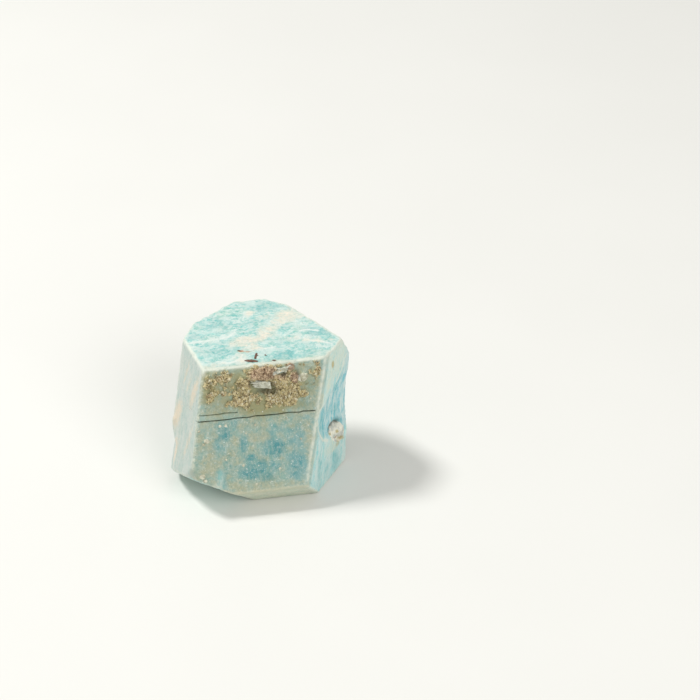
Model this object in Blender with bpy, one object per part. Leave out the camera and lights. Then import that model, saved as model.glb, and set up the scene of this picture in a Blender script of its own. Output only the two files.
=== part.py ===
"""A loose crystal of amazonite, standing on the cleavage that it rests on.

The crystal is cut from a block by its named faces, which follow the lattice of microcline. A fracture
hollow, ledges, pits and cleavage cracks are then cut in, and a lump of quartz and a crust of small
grains and blades grow on it. Every place and size below is in millimetres; the mesh is in metres.
"""
import math
import random

import bmesh
import bpy
from mathutils import Matrix, Vector

MM = 0.001

# Size and lattice
HEIGHT = 28.5
AXIS_AZIMUTH = 60.0
AXIS_LEAN = 25.9
EDGE_WEAR = 0.36
BLOCK_REACH = 40.0
# Base colour of the plain part, red, green and blue
AMAZONITE = (0.33, 0.62, 0.60)
# Middle of the crystal's box in the drawing, which becomes the part's origin
MIDDLE = (0.2472, -0.0188)

# Corners of the top, counter-clockwise
FRONT_LEFT = (-11.4, -6.55, HEIGHT)
FRONT_RIGHT = (12.8, -6.55, HEIGHT)
RIGHT = (17.4, -1.35, HEIGHT)
BACK_RIGHT = (7.2, 14.1, HEIGHT)
BACK = (4.0, 16.2, HEIGHT)
BACK_LEFT = (-2.4, 16.45, HEIGHT)
LEFT_BACK = (-11.2, 9.9, HEIGHT)
LEFT = (-13.95, 5.1, HEIGHT)

# Places where the lower faces pass; the right foot is given along and up the right face
RIGHT_EDGE_AZIMUTH = 53.3
RIGHT_FOOT = (7.05, 7.65)
LEFT_FOOT = (-17.7, -6.12, 7.6)
FRONT_FOOT = (6.85, -16.44, 5.0)
UNDERCUT = (-7.65, -16.49, 4.9)
LEFT_FRONT_FOOT = (-15.17, -14.04, 10.7)

# Step of the lower left edge, and the low swelling above it, by its y and height
LEFT_STEP_AT = (-17.3, 0.0, 11.0)
LEFT_STEP_AZIMUTH = 265.0
LEFT_BUMP_AT = (-1.6, 13.6)
LEFT_BUMP_RADII = (1.2, 1.7, 0.8)
LEFT_BUMP_DEPTH = 0.5

# Fracture hollow of the right face: where it lies along and up the face, and its curvature
HOLLOW_AT = (6.5, 14.5)
HOLLOW_RADII = (13.5, 8.5, 2.1)
HOLLOW_CENTRE_OUT = 0.97
HOLLOW_ROOF_TILT = 16.7
HOLLOW_ROOF_RAMP = 30.0
HOLLOW_ROOF_AT = (5.6, 20.6)
# Thin chip beyond it, along the right face's far edge
CHIP_AT = (8.3, 23.2)
CHIP_TILT = -35.0
CHIP_DEPTH = 0.5
CHIP_FOOT = 20.0

# Quartz lump in the hollow's lower rim
LUMP_AT = (3.9, 8.0)
LUMP_TILT = -35.0
LUMP_RADII = (3.5, 2.1, 1.9)
LUMP_DEPTH = 1.7
# The crevice round it: how far it is shifted up and to the front, and its own depth and thickness
CREVICE = 0.35
CREVICE_DEPTH = 0.4
CREVICE_THICKNESS = 0.95

# Shell-shaped break low on the back: x and height, radii, how far out its centre is, and its tilt
ROOT_AT = (-9.0, 4.5)
ROOT_RADII = (8.5, 6.0, 3.1)
ROOT_CENTRE_OUT = 1.6
ROOT_TILT = 20.0

# Cleavage cracks, parallel to the top: half their mouth, and how deep they run
CRACK_HALF_MOUTH = 0.11
CRACK_DEPTH = 0.55
CRACK_PROUD = 0.3
# Points of each crack along its face: x and height
MAIN_CRACK = (
    (-13.15, 19.02), (-9.5, 18.93), (-7.0, 18.92), (-5.6, 19.0), (-3.3, 18.88), (-2.0, 19.04),
    (0.0, 18.94), (2.4, 18.9), (4.6, 19.02), (6.8, 18.82), (7.4, 18.96), (9.8, 18.81),
)
SHORT_CRACK = ((-12.9, 20.1), (-9.1, 20.05), (-8.0, 20.17), (-5.5, 20.06))
# The left face's crack: y and height
LEFT_CRACK = ((-10.0, 19.1), (-7.5, 19.5), (-4.8, 19.4), (-1.2, 20.4))

# Crust on the front: middle of each patch, its half sizes, how many grains, and their radius
CRUST_PATCHES = (
    (-0.4, 26.5, 3.0, 1.1, 15, 0.72),
    (3.6, 24.3, 2.6, 1.3, 8, 0.55),
    (4.1, 21.9, 2.6, 1.3, 15, 0.6),
    (-3.7, 22.5, 1.4, 1.5, 9, 0.58),
    (-10.4, 25.4, 1.1, 2.4, 9, 0.48),
    (10.3, 26.3, 1.1, 0.9, 5, 0.42),
    (8.6, 22.6, 0.9, 1.2, 4, 0.4),
    (-7.2, 25.6, 1.4, 1.4, 4, 0.4),
)
# Larger nodules of the front: x, height and radius
NODULES = (
    (5.9, 27.25, 0.75), (6.4, 25.4, 0.85), (7.9, 25.2, 1.0), (4.0, 23.6, 0.6), (-11.9, 15.4, 0.65),
)
# White blades of the front: x, height, half sizes along, across and out, and their tilt
BLADES = ((-0.4, 24.75, 1.9, 0.7, 0.75, -8.0), (3.8, 27.0, 1.6, 0.45, 0.7, 14.0))
BLADE_LEAN = 12.0
# Small pits of the front: x, height and radius
PITS = (
    (-2.0, 8.5, 0.42), (7.3, 10.9, 0.3), (-5.2, 10.6, 0.35), (1.2, 7.4, 0.3), (-7.6, 12.2, 0.32),
    (3.4, 15.2, 0.3), (-10.6, 16.6, 0.35), (8.4, 14.0, 0.28),
)
# Growth steps of the hidden sides: face, x and height of the middle, depth, and the walls round it
PANELS = (
    ("right_back", 16.0, 11.5, 0.6, ((88, 4.0), (265, 4.6), (174, 1.4))),
    ("back_corner", 11.2, 13.0, 0.9, ((84, 5.6), (268, 6.0), (182, 2.4), (2, 2.2))),
    ("back", 0.0, 10.0, 0.9, ((82, 5.0), (187, 4.2))),
    ("back_left", -11.0, 14.0, 1.0, ((76, 5.2), (262, 4.0), (4, 3.6))),
    ("left_back", -15.5, 8.5, 0.7, ((94, 3.2), (2, 1.4), (184, 2.4))),
)
PANEL_WALL_SLOPE = 0.7
# How uneven each kind of surface is, as a share of its radius
FRACTURE_ROUGHNESS = 0.006
ROOT_ROUGHNESS = 0.012
SWELLING_ROUGHNESS = 0.04
CREVICE_ROUGHNESS = 0.03
NODULE_ROUGHNESS = 0.07
GRAIN_ROUGHNESS = 0.16
SEED = 11


def compass(azimuth, elevation=0.0):
    """Direction with this azimuth, 0 along +X and 90 along +Y, and elevation."""
    turn, rise = math.radians(azimuth), math.radians(elevation)
    return Vector((math.cos(turn) * math.cos(rise), math.sin(turn) * math.cos(rise), math.sin(rise)))


UP = Vector((0.0, 0.0, 1.0))
AXIS = compass(AXIS_AZIMUTH, 90.0 - AXIS_LEAN)


class Face:
    """A plane of the crystal, by a point on it and its outward normal."""

    def __init__(self, point, normal):
        self.point = Vector(point)
        self.normal = normal.normalized()

    def inset(self, depth):
        return Face(self.point - self.normal * depth, self.normal)

    def flipped(self):
        return Face(self.point, -self.normal)

    def along(self):
        """Level direction in the face, running counter-clockwise round the crystal."""
        return UP.cross(self.normal).normalized()

    def at_x(self, x, height):
        """Point of the face at this x and height."""
        reach = self.normal.dot(self.point) - self.normal.x * x - self.normal.z * height
        return Vector((x, reach / self.normal.y, height))

    def at_y(self, y, height):
        """Point of the face at this y and height."""
        reach = self.normal.dot(self.point) - self.normal.y * y - self.normal.z * height
        return Vector((reach / self.normal.x, y, height))

    def at_along(self, start, distance, height):
        """Point of the face this far along it from a starting point, at this height."""
        flat = Vector(start) + self.along() * distance
        slope = self.normal.cross(self.along())
        return flat + slope * ((height - flat.z) / slope.z)

    def frame(self, point, tilt=0.0):
        """Matrix at a point of the face: x along it, y up it, z out of it, turned by tilt."""
        out = self.normal
        along = self.along()
        axes = Matrix((along, out.cross(along), out)).transposed().to_4x4()
        return Matrix.Translation(point) @ axes @ Matrix.Rotation(math.radians(tilt), 4, "Z")


def prism_face(point, edge_azimuth):
    """Face that holds the prism axis and meets the top along edge_azimuth, outward to its right."""
    return Face(point, compass(edge_azimuth).cross(AXIS))


def prism_between(first, second):
    step = Vector(second) - Vector(first)
    return prism_face(first, math.degrees(math.atan2(step.y, step.x)))


RIGHT_FACE = prism_face(FRONT_RIGHT, RIGHT_EDGE_AZIMUTH)
FACES = {
    "top": Face((0, 0, HEIGHT), UP),
    "base": Face((0, 0, 0), -UP),
    "front": prism_between(FRONT_LEFT, FRONT_RIGHT),
    "right": RIGHT_FACE,
    "right_back": Face(RIGHT_FACE.at_along(FRONT_RIGHT, *RIGHT_FOOT), compass(32.6, -10.5)),
    "break": Face(RIGHT, compass(32.6, 29.5)),
    "back_corner": Face(BACK_RIGHT, compass(56.8, -12.0)),
    "back": prism_between(BACK, BACK_LEFT),
    "back_left": prism_between(BACK_LEFT, LEFT_BACK),
    "left_back": prism_between(LEFT_BACK, LEFT),
    "left": Face(LEFT_FRONT_FOOT, compass(-167.5, 16.6)),
    "front_foot": Face(FRONT_FOOT, compass(-90.0, -34.8)),
    "undercut": Face(UNDERCUT, compass(-132.0, -49.6)),
    "left_front_foot": Face(LEFT_FRONT_FOOT, compass(-140.1, -3.0)),
}


def placed(point):
    """A drawing point as a place in the part's own frame, in metres."""
    return Vector((point[0] - MIDDLE[0], point[1] - MIDDLE[1], point[2])) * MM


def cut(mesh, face):
    """Keep what lies behind a face, and close the body there."""
    whole = mesh.verts[:] + mesh.edges[:] + mesh.faces[:]
    result = bmesh.ops.bisect_plane(
        mesh, geom=whole, dist=1e-4, plane_co=face.point, plane_no=face.normal, clear_outer=True
    )
    rim = [part for part in result["geom_cut"] if isinstance(part, bmesh.types.BMEdge)]
    if rim:
        bmesh.ops.edgeloop_fill(mesh, edges=rim)


def block(faces):
    """Closed body that lies behind all these faces."""
    mesh = bmesh.new()
    bmesh.ops.create_cube(mesh, size=2 * BLOCK_REACH)
    for face in faces:
        cut(mesh, face)
    bmesh.ops.recalc_face_normals(mesh, faces=mesh.faces)
    return mesh


def ball(mesh, frame, radii, detail, roughness, chance):
    """Rough ellipsoid with flat facets, added to the mesh."""
    made = bmesh.ops.create_icosphere(mesh, subdivisions=detail, radius=1.0)
    for vertex in made["verts"]:
        vertex.co *= 1 + chance.uniform(-roughness, roughness)
    size = Matrix.Diagonal((*radii, 1.0))
    bmesh.ops.transform(mesh, matrix=frame @ size, verts=made["verts"])


def blade(mesh, frame, radii, chance):
    """Flat slab with broken ends and a ridge, added to the mesh."""
    made = bmesh.ops.create_cube(mesh, size=2.0)
    for vertex in made["verts"]:
        taper = 0.72 if vertex.co.z > 0 else 1.0
        vertex.co.x *= taper * chance.uniform(0.85, 1.0)
        vertex.co.y *= taper * chance.uniform(0.7, 1.0)
    size = Matrix.Diagonal((*radii, 1.0))
    bmesh.ops.transform(mesh, matrix=frame @ size, verts=made["verts"])


def wedge(mesh, points, face):
    """Thin V-shaped groove cutter that follows points of a face."""
    lift = UP * CRACK_HALF_MOUTH
    rings = []
    for point in points:
        outside = point + face.normal * CRACK_PROUD
        corners = (outside + lift, outside - lift, point - face.normal * CRACK_DEPTH)
        rings.append([mesh.verts.new(corner) for corner in corners])
    for ring, following in zip(rings, rings[1:]):
        for side in range(3):
            after = (side + 1) % 3
            mesh.faces.new((ring[side], ring[after], following[after], following[side]))
    mesh.faces.new(rings[0][::-1])
    mesh.faces.new(rings[-1])
    bmesh.ops.recalc_face_normals(mesh, faces=mesh.faces)


def object_from(name, mesh, collection):
    """The mesh, moved from the drawing to the part's frame, as an object."""
    for vertex in mesh.verts:
        vertex.co = placed(vertex.co)
    data = bpy.data.meshes.new(name)
    mesh.to_mesh(data)
    mesh.free()
    made = bpy.data.objects.new(name, data)
    collection.objects.link(made)
    return made


def helper(name, mesh, collection):
    """An object that shapes the crystal and isn't part of it."""
    made = object_from(name, mesh, collection)
    made.hide_render = True
    made.display_type = "WIRE"
    return made


def helper_collection(name):
    made = bpy.data.collections.new(name)
    bpy.context.scene.collection.children.link(made)
    return made


def worn_block():
    """The crystal's plain body, with its edges worn."""
    mesh = block(FACES.values())
    bmesh.ops.bevel(
        mesh, geom=mesh.edges[:], offset=EDGE_WEAR, segments=2, profile=0.5, affect="EDGES",
        clamp_overlap=True,
    )
    return mesh


def fracture_hollow(chance):
    """Shell-shaped break in the right face, under a straight upper edge."""
    right = FACES["right"]
    mesh = bmesh.new()
    middle = right.at_along(FRONT_RIGHT, *HOLLOW_AT) + right.normal * HOLLOW_CENTRE_OUT
    ball(mesh, right.frame(middle), HOLLOW_RADII, 4, FRACTURE_ROUGHNESS, chance)
    tilt, ramp = math.radians(HOLLOW_ROOF_TILT), math.radians(HOLLOW_ROOF_RAMP)
    rise = right.normal.cross(right.along())
    across = rise * math.cos(tilt) - right.along() * math.sin(tilt)
    roof = Face(
        right.at_along(FRONT_RIGHT, *HOLLOW_ROOF_AT),
        across * math.cos(ramp) - right.normal * math.sin(ramp),
    )
    cut(mesh, roof)
    bmesh.ops.recalc_face_normals(mesh, faces=mesh.faces)
    return mesh


def lump_frame(shift=0.0, depth=LUMP_DEPTH):
    right = FACES["right"]
    along, height = LUMP_AT
    middle = right.at_along(FRONT_RIGHT, along - shift, height + shift)
    return right.frame(middle - right.normal * depth, LUMP_TILT)


def lump_pocket(chance):
    """Crevice that parts the quartz lump from the hollow above it."""
    mesh = bmesh.new()
    along, across, out = LUMP_RADII
    radii = (along, across, out * CREVICE_THICKNESS)
    ball(mesh, lump_frame(CREVICE, CREVICE_DEPTH), radii, 2, CREVICE_ROUGHNESS, chance)
    return mesh


def quartz_lump(chance):
    mesh = bmesh.new()
    ball(mesh, lump_frame(), LUMP_RADII, 2, NODULE_ROUGHNESS, chance)
    return mesh


def right_chip():
    """Thin chip of the right face, between its cream upper part and its far edge."""
    right = FACES["right"]
    rise = right.normal.cross(right.along())
    turn = math.radians(CHIP_TILT)
    across = right.along() * math.cos(turn) + rise * math.sin(turn)
    edge = Face(right.at_along(FRONT_RIGHT, *CHIP_AT), across)
    floor = Face((0, 0, CHIP_FOOT), UP)
    return block([right.inset(CHIP_DEPTH).flipped(), edge.flipped(), floor.flipped()])


def left_step():
    """Step of the lower left edge: the crystal is narrower below it."""
    strip = prism_face(LEFT_FOOT, LEFT_STEP_AZIMUTH)
    overhang = Face(LEFT_STEP_AT, compass(-4.0, 15.0))
    return block([strip.flipped(), overhang])


def panel(face, x, height, depth, walls):
    """Cutter of a shallow many-sided step; a wall is its direction in the face and its distance."""
    middle = face.at_x(x, height)
    rise = face.normal.cross(face.along())
    sides = [face.inset(depth).flipped()]
    for angle, reach in walls:
        turn = math.radians(angle)
        outward = face.along() * math.cos(turn) + rise * math.sin(turn)
        sides.append(Face(middle + outward * reach, outward - face.normal * PANEL_WALL_SLOPE))
    return block(sides)


def broken_root(chance):
    """Shell-shaped break low on the back, where the crystal came off its rock."""
    mesh = bmesh.new()
    back_left = FACES["back_left"]
    middle = back_left.at_x(*ROOT_AT) + back_left.normal * ROOT_CENTRE_OUT
    ball(mesh, back_left.frame(middle, ROOT_TILT), ROOT_RADII, 3, ROOT_ROUGHNESS, chance)
    return mesh


def front_marks(chance):
    """Pits of the front, as one cutter."""
    mesh = bmesh.new()
    front = FACES["front"]
    for x, height, radius in PITS:
        frame = front.frame(front.at_x(x, height), chance.uniform(0, 180))
        ball(mesh, frame, (radius * 1.3, radius, radius * 0.9), 1, GRAIN_ROUGHNESS, chance)
    return mesh


def cracks():
    """Cutters of the three cleavage cracks."""
    front = FACES["front"]
    left = FACES["left"]
    for path in (MAIN_CRACK, SHORT_CRACK):
        mesh = bmesh.new()
        wedge(mesh, [front.at_x(x, height) for x, height in path], front)
        yield mesh
    mesh = bmesh.new()
    wedge(mesh, [left.at_y(y, height) for y, height in LEFT_CRACK], left)
    yield mesh


def crust(chance):
    """Grains, nodules and blades that grow on the front, each as a closed mesh of its own."""
    front = FACES["front"]
    for x, height, half_width, half_height, count, radius in CRUST_PATCHES:
        for _ in range(count):
            turn, reach = chance.uniform(0, 2 * math.pi), math.sqrt(chance.random())
            spot = front.at_x(
                x + half_width * reach * math.cos(turn), height + half_height * reach * math.sin(turn)
            )
            size = radius * chance.uniform(0.65, 1.25)
            radii = (size * chance.uniform(0.8, 1.4), size * chance.uniform(0.7, 1.1), size)
            frame = front.frame(spot, chance.uniform(0, 180))
            mesh = bmesh.new()
            sunk = Matrix.Translation((0, 0, -0.25 * size))
            ball(mesh, frame @ sunk, radii, 1, GRAIN_ROUGHNESS, chance)
            yield mesh
    for x, height, radius in NODULES:
        mesh = bmesh.new()
        spot = front.at_x(x, height) - front.normal * radius * 0.3
        frame = front.frame(spot, chance.uniform(0, 180))
        ball(mesh, frame, (radius * 1.15, radius, radius), 2, NODULE_ROUGHNESS, chance)
        yield mesh
    for x, height, half_length, half_width, half_depth, tilt in BLADES:
        mesh = bmesh.new()
        spot = front.at_x(x, height)
        lean = Matrix.Rotation(math.radians(BLADE_LEAN), 4, "X")
        blade(mesh, front.frame(spot, tilt) @ lean, (half_length, half_width, half_depth), chance)
        yield mesh


def left_bump(chance):
    """Low swelling of the left edge, above the step."""
    mesh = bmesh.new()
    left = FACES["left"]
    spot = left.at_y(*LEFT_BUMP_AT) - left.normal * LEFT_BUMP_DEPTH
    ball(mesh, left.frame(spot), LEFT_BUMP_RADII, 2, SWELLING_ROUGHNESS, chance)
    return mesh


def add_boolean(target, name, operation, collection):
    made = target.modifiers.new(name, "BOOLEAN")
    made.operation = operation
    made.solver = "EXACT"
    made.operand_type = "COLLECTION"
    made.collection = collection


def amazonite():
    material = bpy.data.materials.new("amazonite")
    material.use_nodes = True
    shader = material.node_tree.nodes["Principled BSDF"]
    shader.inputs["Base Color"].default_value = (*AMAZONITE, 1.0)
    shader.inputs["Roughness"].default_value = 0.5
    shader.inputs["Metallic"].default_value = 0.0
    return material


def build():
    for old in list(bpy.data.objects):
        bpy.data.objects.remove(old, do_unlink=True)
    chance = random.Random(SEED)
    crystal = object_from("amazonite_crystal", worn_block(), bpy.context.scene.collection)
    crystal.data.materials.append(amazonite())

    hollows = helper_collection("hollows")
    helper("fracture_hollow", fracture_hollow(chance), hollows)
    helper("broken_root", broken_root(chance), hollows)
    helper("right_chip", right_chip(), hollows)
    helper("left_step", left_step(), hollows)
    for index, (name, x, height, depth, walls) in enumerate(PANELS):
        helper(f"step_{index}", panel(FACES[name], x, height, depth, walls), hollows)
    add_boolean(crystal, "cut hollows", "DIFFERENCE", hollows)

    pocket = helper_collection("pocket")
    helper("lump_pocket", lump_pocket(chance), pocket)
    add_boolean(crystal, "cut pocket", "DIFFERENCE", pocket)

    growths = helper_collection("growths")
    helper("quartz_lump", quartz_lump(chance), growths)
    helper("left_bump", left_bump(chance), growths)
    for index, mesh in enumerate(crust(chance)):
        helper(f"crust_{index:02d}", mesh, growths)
    add_boolean(crystal, "grow crust", "UNION", growths)

    marks = helper_collection("marks")
    helper("pits", front_marks(chance), marks)
    for index, mesh in enumerate(cracks()):
        helper(f"crack_{index}", mesh, marks)
    add_boolean(crystal, "cut marks", "DIFFERENCE", marks)


build()
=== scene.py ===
"""Looks of a loose amazonite crystal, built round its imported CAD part.

The stone is one fine mesh made from the CAD node, with worn edges, cleavage steps and cracks. Its colours
follow the lattice: pale perthite veins lie in sheets parallel to the front, so they show as streaks on the
other faces and as clouds on the front. A crust of grains, blades and nodules grows on the front, and a
quartz lump sits in the fracture hollow. Places are in millimetres of the crystal's drawing: x along the
front's upper edge, y to the back, z up.
"""
import math
import random

import bmesh
import bpy
import numpy as np
from mathutils import Matrix, Vector, noise


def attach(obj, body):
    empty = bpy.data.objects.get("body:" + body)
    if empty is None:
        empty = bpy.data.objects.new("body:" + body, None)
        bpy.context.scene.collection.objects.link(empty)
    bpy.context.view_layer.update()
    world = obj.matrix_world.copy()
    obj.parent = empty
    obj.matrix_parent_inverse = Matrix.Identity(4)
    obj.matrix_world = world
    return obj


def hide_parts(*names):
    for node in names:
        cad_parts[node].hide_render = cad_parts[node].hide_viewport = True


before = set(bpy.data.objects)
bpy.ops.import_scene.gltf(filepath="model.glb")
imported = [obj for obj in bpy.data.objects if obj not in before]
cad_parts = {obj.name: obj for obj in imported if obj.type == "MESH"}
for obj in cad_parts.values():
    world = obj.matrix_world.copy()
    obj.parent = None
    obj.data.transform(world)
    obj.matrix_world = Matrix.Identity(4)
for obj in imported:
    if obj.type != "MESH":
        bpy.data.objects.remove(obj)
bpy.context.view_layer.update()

MM = 0.001
# Middle of the crystal's box in the drawing, which is the part's origin
MIDDLE = np.array((0.2472, -0.0188, 0.0))
BODY = "root"
NODE = "amazonite_crystal"

# Lattice: the prism axis, and the pole of the sheets that the perthite veins lie in
AXIS = Vector((0.2184, 0.3783, 0.8996))
ACROSS = Vector((1.0, 0.0, 0.0))
POLE = AXIS.cross(ACROSS).normalized()

# Fine mesh: its step, and how much it is smoothed
VOXEL = 0.29
SMOOTH_STEPS = 2
# A flat side has at least this area, and at most this share of the stone stands this far out of it
SIDE_AREA = 9.0
SIDE_PROUD = 0.25
SIDE_SHARE = 0.02
# Sides whose normals agree at least this far, by their cosine, count as one
SIDE_SAME = 0.996
# How far from its line an edge is worn pale
EDGE_WIDTH = 0.55
# Relief, in millimetres: the size and height of each noise. The steps also have levels and a stretch, and
# the chips read the noise at another place
WAVE_SIZE, WAVE_LIFT = 5.0, 0.10
GRAIN_SIZE, GRAIN_LIFT = 0.9, 0.03
STEP_SIZE, STEP_LIFT, STEP_LEVELS = 2.4, 0.07, 3
STEP_STRETCH = np.array((0.35, 1.0, 1.0))
CHIP_SIZE, CHIP_OFFSET, EDGE_WEAR = 1.6, 40.0, 0.16
# The crust's own lift, and how much of the lumps, grains and chips the crust and the quartz lump take
CRUST_LIFT, CRUST_LUMPS, CRUST_GRAINS, CRUST_CHIPS = 0.1, 0.45, 0.2, 0.12
LUMP_GRAINS, LUMP_CHIPS = 0.16, 0.1
CREVICE_DEPTH = 0.35
# Heights over the base between which the relief sets in, so that the base stays flat
BASE_KEPT = (0.05, 0.8)


def compass(azimuth, elevation=0.0):
    """Direction with this azimuth, 0 along +X and 90 along +Y, and elevation."""
    turn, rise = math.radians(azimuth), math.radians(elevation)
    return Vector((math.cos(turn) * math.cos(rise), math.sin(turn) * math.cos(rise), math.sin(rise)))


class Side:
    """A flat side of the crystal, by a point on it and its outward normal."""

    def __init__(self, corner, normal):
        self.corner = np.array(corner)
        self.normal = np.array(normal.normalized())
        self.reach = float(self.normal @ self.corner)
        self.along = np.array(Vector((0, 0, 1)).cross(normal).normalized())
        self.rise = np.cross(self.normal, self.along)

    def depth(self, points):
        """How far points lie under the side."""
        return self.reach - points @ self.normal

    def at(self, x, z, out=0.0):
        """Point of the side at this x and z, lifted out of it."""
        y = (self.reach - self.normal[0] * x - self.normal[2] * z) / self.normal[1]
        return Vector(np.array((x, y, z)) + self.normal * out)

    def matrix(self, point, tilt=0.0):
        """Frame at a point, in millimetres: x along the side, y up it, z out of it, turned by tilt."""
        axes = Matrix((self.along, self.rise, self.normal)).transposed().to_4x4()
        return Matrix.Translation(point) @ axes @ Matrix.Rotation(math.radians(tilt), 4, "Z")


HEIGHT = 28.5
TOP = Side((0, 0, HEIGHT), Vector((0.0001, 0, 1)))
FRONT = Side((-11.4, -6.55, HEIGHT), ACROSS.cross(AXIS))
FOOT = Side((6.85, -16.44, 5.0), compass(-90.0, -34.8))
RIGHT_EDGE = compass(53.3)
RIGHT = Side((12.8, -6.55, HEIGHT), RIGHT_EDGE.cross(AXIS))
LEFT = Side((-15.17, -14.04, 10.7), compass(-167.5, 16.6))

# Cleavage cracks: points along each one
MAIN_CRACK = (
    (-13.6, 19.05), (-9.5, 18.93), (-7.0, 18.92), (-5.6, 19.0), (-3.3, 18.88), (-2.0, 19.04),
    (0.0, 18.94), (2.4, 18.9), (4.6, 19.02), (6.8, 18.82), (7.4, 18.96), (9.8, 18.81),
)
SHORT_CRACK = ((-12.9, 20.1), (-9.1, 20.05), (-8.0, 20.17), (-5.5, 20.06))
LEFT_CRACK = ((-10.0, 19.1), (-7.5, 19.5), (-4.8, 19.4), (-1.2, 20.4))
CRACK_HALF_MOUTH = 0.075
CRACK_DEPTH = 0.45
CRACK_CUTS = 3
# The CAD part's wider cracks: depths of their bottom, and how far it lies from the line and past its ends
CRACK_FLOOR = (0.3, 0.8)
CRACK_NEAR = 0.35
CRACK_PAST = 0.9
CRUST_CUTS = 2

# Soft marks of each side: place, half sizes, strength, and a tilt in degrees where there is one
CRUST_MARKS = (
    (0.4, 26.6, 3.9, 1.5, 1.0), (2.8, 25.2, 2.2, 1.4, 1.0, -20), (5.0, 25.8, 2.0, 1.2, 0.7),
    (4.0, 22.4, 3.1, 1.9, 1.0, -8), (6.2, 24.2, 1.5, 1.6, 0.8), (-3.9, 24.6, 1.3, 2.2, 0.85, 12),
    (-3.8, 22.3, 2.1, 1.8, 0.95), (-6.3, 22.3, 1.7, 0.6, 0.6, 25), (-1.2, 21.8, 1.6, 0.9, 0.55),
    (1.0, 21.3, 1.2, 1.2, 0.6), (-10.7, 24.9, 1.2, 3.0, 0.56), (-8.0, 26.6, 3.2, 1.1, 0.6, 5),
    (10.2, 26.3, 1.2, 1.6, 0.72), (7.8, 22.3, 1.2, 0.9, 0.6), (9.0, 24.6, 1.4, 2.0, 0.32),
    (-8.2, 24.4, 3.4, 1.7, 0.42), (-1.4, 24.0, 1.6, 1.5, 0.35), (3.0, 27.6, 4.6, 0.5, 0.6),
)
PINK_MARKS = (
    (0.3, 26.8, 3.0, 1.2, 0.9), (5.6, 27.4, 0.9, 0.8, 1.0), (6.3, 25.5, 0.9, 0.9, 1.0),
    (3.6, 25.9, 1.6, 0.8, 0.6),
)
OLIVE_MARKS = (
    (-0.5, 24.3, 11.0, 4.2, 0.8), (0.6, 20.6, 5.4, 1.8, 1.0), (5.9, 20.2, 3.2, 1.0, 0.7),
    (-8.4, 20.4, 2.4, 0.8, 0.5), (-10.6, 25.0, 1.8, 3.2, 0.9), (4.2, 23.0, 3.6, 2.6, 1.0),
    (10.4, 25.5, 1.2, 2.4, 0.5),
)
TEAL_MARKS = (
    (1.1, 12.9, 2.5, 2.1, 1.0), (-3.8, 11.2, 1.6, 1.1, 0.7), (-3.2, 8.9, 3.8, 1.6, 0.95),
    (-8.4, 16.4, 1.3, 2.2, 0.85, 10), (-9.6, 13.6, 1.5, 1.6, 0.6), (-4.8, 14.0, 1.2, 1.6, 0.75),
    (5.4, 14.4, 2.0, 2.4, 0.7), (5.5, 9.0, 2.1, 3.4, 0.8, 6), (-9.7, 7.6, 1.2, 2.2, 0.9, -8),
    (-6.6, 17.9, 1.3, 1.1, 0.6), (0.6, 9.4, 2.6, 1.3, 0.75), (7.9, 20.6, 1.4, 1.3, 0.6),
    (-7.6, 10.6, 1.2, 2.0, 0.45), (1.6, 16.4, 3.0, 1.2, 0.4),
)
# Darkest patches of the front, and where no film covers it
DEEP_MARKS = (
    (1.7, 12.5, 1.4, 1.3, 1.0), (-3.3, 8.4, 1.4, 0.9, 1.0), (-1.4, 9.6, 0.9, 1.5, 0.9),
    (-4.8, 14.0, 0.6, 1.5, 0.9), (-3.5, 11.5, 1.1, 0.7, 0.8), (5.4, 9.4, 0.9, 2.2, 0.55),
    (-0.7, 7.5, 1.4, 0.9, 0.9), (-8.0, 16.8, 0.6, 1.3, 0.9), (-9.6, 15.2, 0.7, 0.9, 0.7),
)
CLEAR_MARKS = ((-9.8, 7.9, 0.6, 1.7, 1.0, -8), (-10.2, 6.7, 1.1, 0.7, 1.0))
CREAM_MARKS = (
    (-12.4, 9.6, 2.3, 1.4, 0.8, -25), (-3.8, 5.8, 3.8, 1.0, 0.85), (2.4, 5.6, 5.0, 0.8, 0.8),
    (7.2, 5.9, 1.6, 1.0, 0.75), (-6.3, 13.8, 0.9, 3.2, 0.55, -12), (-11.4, 12.4, 1.0, 1.8, 0.5),
    (2.4, 8.8, 1.2, 0.9, 0.4), (-2.0, 14.6, 2.4, 1.4, 0.4), (8.6, 15.5, 1.2, 2.6, 0.4),
    (-11.6, 7.6, 2.4, 1.2, 0.7, -25), (-9.4, 10.4, 1.6, 1.0, 0.5),
)
TOP_CREAM = (
    (-1.6, 1.4, 3.3, 1.6, 1.0, 6), (2.6, 3.8, 3.1, 1.5, 0.85, 48), (7.3, 8.7, 3.4, 1.9, 1.0, 24),
    (9.9, 10.4, 1.6, 1.0, 0.6), (-3.9, -4.6, 1.0, 2.2, 0.6, -10), (0.2, 10.9, 0.9, 0.9, 0.9),
    (8.6, 0.6, 3.0, 0.9, 0.5, -12), (-1.0, -1.2, 2.2, 1.0, 0.5), (3.0, 9.4, 2.2, 1.2, 0.4, 20),
    (12.6, -0.8, 2.6, 0.7, 0.5, -8), (-9.6, -5.2, 2.6, 0.9, 0.5),
)
TOP_FROST = (
    (-9.6, 3.0, 3.8, 0.8, 0.9, 4), (-5.2, 4.4, 2.4, 1.0, 0.8, 30), (-4.4, -4.6, 2.6, 1.1, 0.9, -15),
    (0.2, 11.0, 1.3, 1.0, 1.0), (9.4, 1.2, 3.4, 1.0, 0.8, -20), (12.6, -2.4, 2.2, 0.8, 0.7),
    (4.4, 6.4, 2.6, 1.4, 0.7, 40), (-7.6, -5.4, 3.4, 0.8, 0.7), (-2.4, 8.6, 3.0, 0.8, 0.6, 15),
    (9.4, 6.2, 2.4, 1.0, 0.6, -30), (1.0, -1.6, 2.4, 0.7, 0.7), (-12.2, 0.4, 0.9, 2.4, 0.6),
)
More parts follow.
